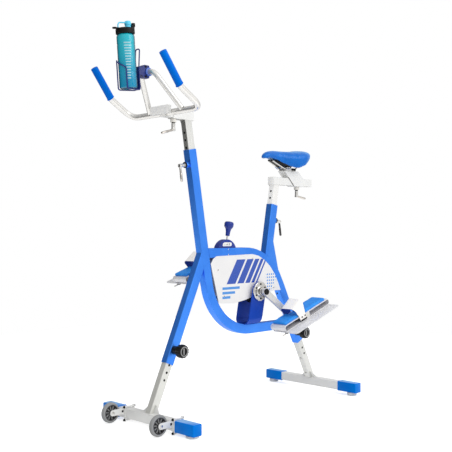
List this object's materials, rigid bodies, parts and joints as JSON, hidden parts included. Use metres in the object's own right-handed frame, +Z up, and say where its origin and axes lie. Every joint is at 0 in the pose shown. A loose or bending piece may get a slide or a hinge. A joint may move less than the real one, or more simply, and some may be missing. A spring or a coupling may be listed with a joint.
{
  "type": "aqua exercise bike",
  "caption": "Pool exercise bike: bent rectangular-tube frame, sliding mast and saddle, bent handlebar with bottle cage, platform pedals with straps, T-shaped legs with transport wheels.",
  "frame": {"origin": "middle of the footprint on the floor, under the middle of the bike", "axes": "+Z up, -Y to the front where the handlebar is, +X to the rider's left"},
  "size_m": [0.56, 1.2446, 1.6054],
  "materials": {
    "frame_paint": "gloss",
    "steel": "brushed",
    "bar_steel": "polished",
    "chrome": "polished",
    "cap_plastic": "satin",
    "grip_plastic": "matt",
    "black_plastic": "matt",
    "panel_plastic": "gloss",
    "navy_plastic": "satin",
    "foot_plastic": "matt",
    "tyre": "matt",
    "wheel_core": "matt",
    "saddle_vinyl": "gloss",
    "pad_foam": "matt",
    "strap_web": "matt",
    "fin_plastic": "translucent",
    "bottle_plastic": "translucent",
    "spout_plastic": "satin"
  },
  "bodies": {
    "frame": {"main_tube": "frame_paint", "top_tube": "frame_paint", "seat_tube": "frame_paint", "front_leg_sleeve": "frame_paint", "crank_bracket": "frame_paint", "resistance_dome": "navy_plastic", "left_bearing_flange": "chrome", "right_bearing_flange": "chrome", "left_side_panel": "panel_plastic", "right_side_panel": "panel_plastic"},
    "front_leg": {"front_leg_post": "steel", "front_bar": "steel", "left_front_cap": "cap_plastic", "right_front_cap": "cap_plastic", "left_front_foot": "foot_plastic", "right_front_foot": "foot_plastic", "left_wheel_bracket": "steel", "right_wheel_bracket": "steel"},
    "left_wheel": {"left_wheel_tyre": "tyre", "left_wheel_core": "wheel_core"},
    "right_wheel": {"right_wheel_tyre": "tyre", "right_wheel_core": "wheel_core"},
    "rear_leg": {"rear_leg_post": "steel", "rear_bar": "steel", "left_rear_cap": "cap_plastic", "right_rear_cap": "cap_plastic", "left_rear_foot": "foot_plastic", "right_rear_foot": "foot_plastic"},
    "mast": {"mast_post": "steel"},
    "handlebar": {"handlebar_slider": "steel", "horn_bar": "bar_steel", "loop_bar": "bar_steel", "left_grip": "grip_plastic", "right_grip": "grip_plastic", "bottle_cage": "navy_plastic"},
    "bottle_unit": {"bottle": "bottle_plastic", "bottle_collar": "black_plastic", "spout_cap": "spout_plastic"},
    "seat_mast": {"seat_post": "steel"},
    "saddle": {"saddle_carriage": "steel", "saddle_base": "black_plastic", "saddle_cushion": "saddle_vinyl"},
    "mast_lever": {"mast_clamp_lever": "chrome"},
    "seat_lever": {"seat_clamp_lever": "chrome"},
    "handlebar_lever": {"handlebar_clamp_lever": "chrome"},
    "saddle_lever": {"saddle_clamp_lever": "chrome"},
    "front_knob": {"front_leg_knob": "black_plastic"},
    "rear_knob": {"rear_leg_knob": "black_plastic"},
    "resistance_control": {"resistance_lever": "navy_plastic"},
    "crank": {"crank_axle": "black_plastic", "left_crank_arm": "chrome", "right_crank_arm": "chrome"},
    "left_pedal_unit": {"left_pedal": "steel", "left_pedal_pad": "pad_foam", "left_foot_strap": "strap_web", "left_pedal_fin": "fin_plastic"},
    "right_pedal_unit": {"right_pedal": "steel", "right_pedal_pad": "pad_foam", "right_foot_strap": "strap_web", "right_pedal_fin": "fin_plastic"}
  },
  "joints": [
    {"name": "front_leg_slide", "type": "slide", "parent": "frame", "child": "front_leg", "axis": [0, -0.4099, -0.9121], "range_m": [-0.08, 0.09]},
    {"name": "rear_leg_slide", "type": "slide", "parent": "frame", "child": "rear_leg", "axis": [0, 0.4587, -0.8886], "range_m": [-0.08, 0.09]},
    {"name": "left_wheel_spin", "type": "hinge", "parent": "front_leg", "child": "left_wheel", "pos_m": [0.15, -0.52673, 0.0425], "axis": [1, 0, 0], "continuous": true},
    {"name": "right_wheel_spin", "type": "hinge", "parent": "front_leg", "child": "right_wheel", "pos_m": [-0.15, -0.52673, 0.0425], "axis": [1, 0, 0], "continuous": true},
    {"name": "mast_slide", "type": "slide", "parent": "frame", "child": "mast", "axis": [0, -0.1702, 0.9854], "range_m": [-0.08, 0.12]},
    {"name": "handlebar_slide", "type": "slide", "parent": "mast", "child": "handlebar", "axis": [0, -1, 0], "range_m": [-0.012, 0.065]},
    {"name": "bottle_lift", "type": "slide", "parent": "handlebar", "child": "bottle_unit", "axis": [0, -0.0802, 0.9968], "range_m": [0, 0.23]},
    {"name": "seat_post_slide", "type": "slide", "parent": "frame", "child": "seat_mast", "axis": [0, 0.1788, 0.9839], "range_m": [-0.07, 0.08]},
    {"name": "saddle_slide", "type": "slide", "parent": "seat_mast", "child": "saddle", "axis": [0, 1, 0], "range_m": [-0.08, 0.06]},
    {"name": "mast_lever_turn", "type": "hinge", "parent": "frame", "child": "mast_lever", "pos_m": [0, -0.21569, 1.066], "axis": [0, -0.9854, -0.1702], "range_deg": [-90, 90]},
    {"name": "seat_lever_turn", "type": "hinge", "parent": "frame", "child": "seat_lever", "pos_m": [0, 0.28941, 0.838], "axis": [0, 0.9839, -0.1788], "range_deg": [-90, 90]},
    {"name": "handlebar_lever_turn", "type": "hinge", "parent": "mast", "child": "handlebar_lever", "pos_m": [0, -0.31873, 1.247], "axis": [0, 0, -1], "range_deg": [-90, 90]},
    {"name": "saddle_lever_turn", "type": "hinge", "parent": "saddle", "child": "saddle_lever", "pos_m": [0, 0.48427, 0.9974], "axis": [0, 0, -1], "range_deg": [-90, 90]},
    {"name": "front_knob_turn", "type": "hinge", "parent": "frame", "child": "front_knob", "pos_m": [0, -0.32743, 0.293], "axis": [1, 0, 0], "range_deg": [-180, 180]},
    {"name": "rear_knob_turn", "type": "hinge", "parent": "frame", "child": "rear_knob", "pos_m": [0, 0.4674, 0.294], "axis": [1, 0, 0], "range_deg": [-180, 180]},
    {"name": "resistance_turn", "type": "hinge", "parent": "frame", "child": "resistance_control", "pos_m": [0, -0.00573, 0.7213], "axis": [1, 0, 0], "range_deg": [-25, 30]},
    {"name": "crank_spin", "type": "hinge", "parent": "frame", "child": "crank", "pos_m": [0, 0.16927, 0.508], "axis": [1, 0, 0], "continuous": true},
    {"name": "left_pedal_spin", "type": "hinge", "parent": "crank", "child": "left_pedal_unit", "pos_m": [0.1525, 0.32687, 0.40009], "axis": [1, 0, 0], "continuous": true},
    {"name": "right_pedal_spin", "type": "hinge", "parent": "crank", "child": "right_pedal_unit", "pos_m": [-0.1525, 0.01167, 0.61591], "axis": [1, 0, 0], "continuous": true}
  ]
}
